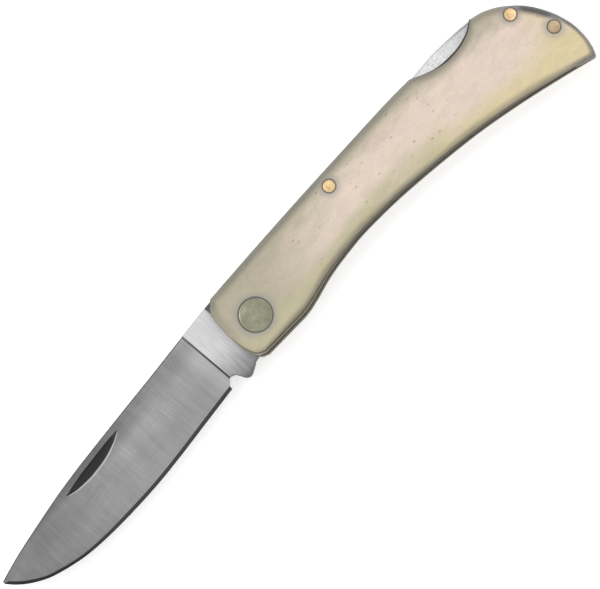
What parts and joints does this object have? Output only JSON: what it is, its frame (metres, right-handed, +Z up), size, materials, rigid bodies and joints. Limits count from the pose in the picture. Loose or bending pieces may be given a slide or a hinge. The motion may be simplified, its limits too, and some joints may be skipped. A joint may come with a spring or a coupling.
{
  "type": "lock-back folding pocket knife",
  "caption": "Folding pocket knife with a long curved handle of bone scales, a clip-free straight-backed blade, a nail nick and a sprung lock bar in the spine with a thumb cut-out.",
  "frame": {"origin": "on the blade's pivot axis, in the plane that the knife lies on, at the outer face of the rear pivot collar", "axes": "+X from the pivot to the butt along the handle, +Y towards the spine, +Z up through the front scale along the pivot"},
  "size_m": [0.2039, 0.0353, 0.0124],
  "materials": {
    "blade_steel": "satin",
    "bar_steel": "satin",
    "spring_steel": "satin",
    "liner_metal": "satin",
    "bone": "satin",
    "pivot_metal": "satin",
    "pin_brass": "polished",
    "pin_copper": "satin"
  },
  "bodies": {
    "handle": {"front_scale": "bone", "rear_scale": "bone", "front_liner": "liner_metal", "rear_liner": "liner_metal", "back_spring": "spring_steel", "pivot_pin": "pivot_metal", "front_collar": "pivot_metal", "rear_collar": "pivot_metal", "rocker_pin": "pin_brass", "upper_butt_pin": "pin_brass", "lower_butt_pin": "pin_copper"},
    "blade": {"blade": "blade_steel"},
    "lock_bar": {"lock_bar": "bar_steel"}
  },
  "joints": [
    {"name": "blade_fold", "type": "hinge", "parent": "handle", "child": "blade", "pos_m": [0, 0, 0.00605], "axis": [0, 0, 1], "range_deg": [0, 173]},
    {"name": "lock_rock", "type": "hinge", "parent": "handle", "child": "lock_bar", "pos_m": [0.0374, 0.00685, 0.00605], "axis": [0, 0, 1], "range_deg": [0, 1.08], "stiffness_Nm_per_rad": 4, "springref_deg": 2.86, "deforming": ["back_spring"]}
  ]
}
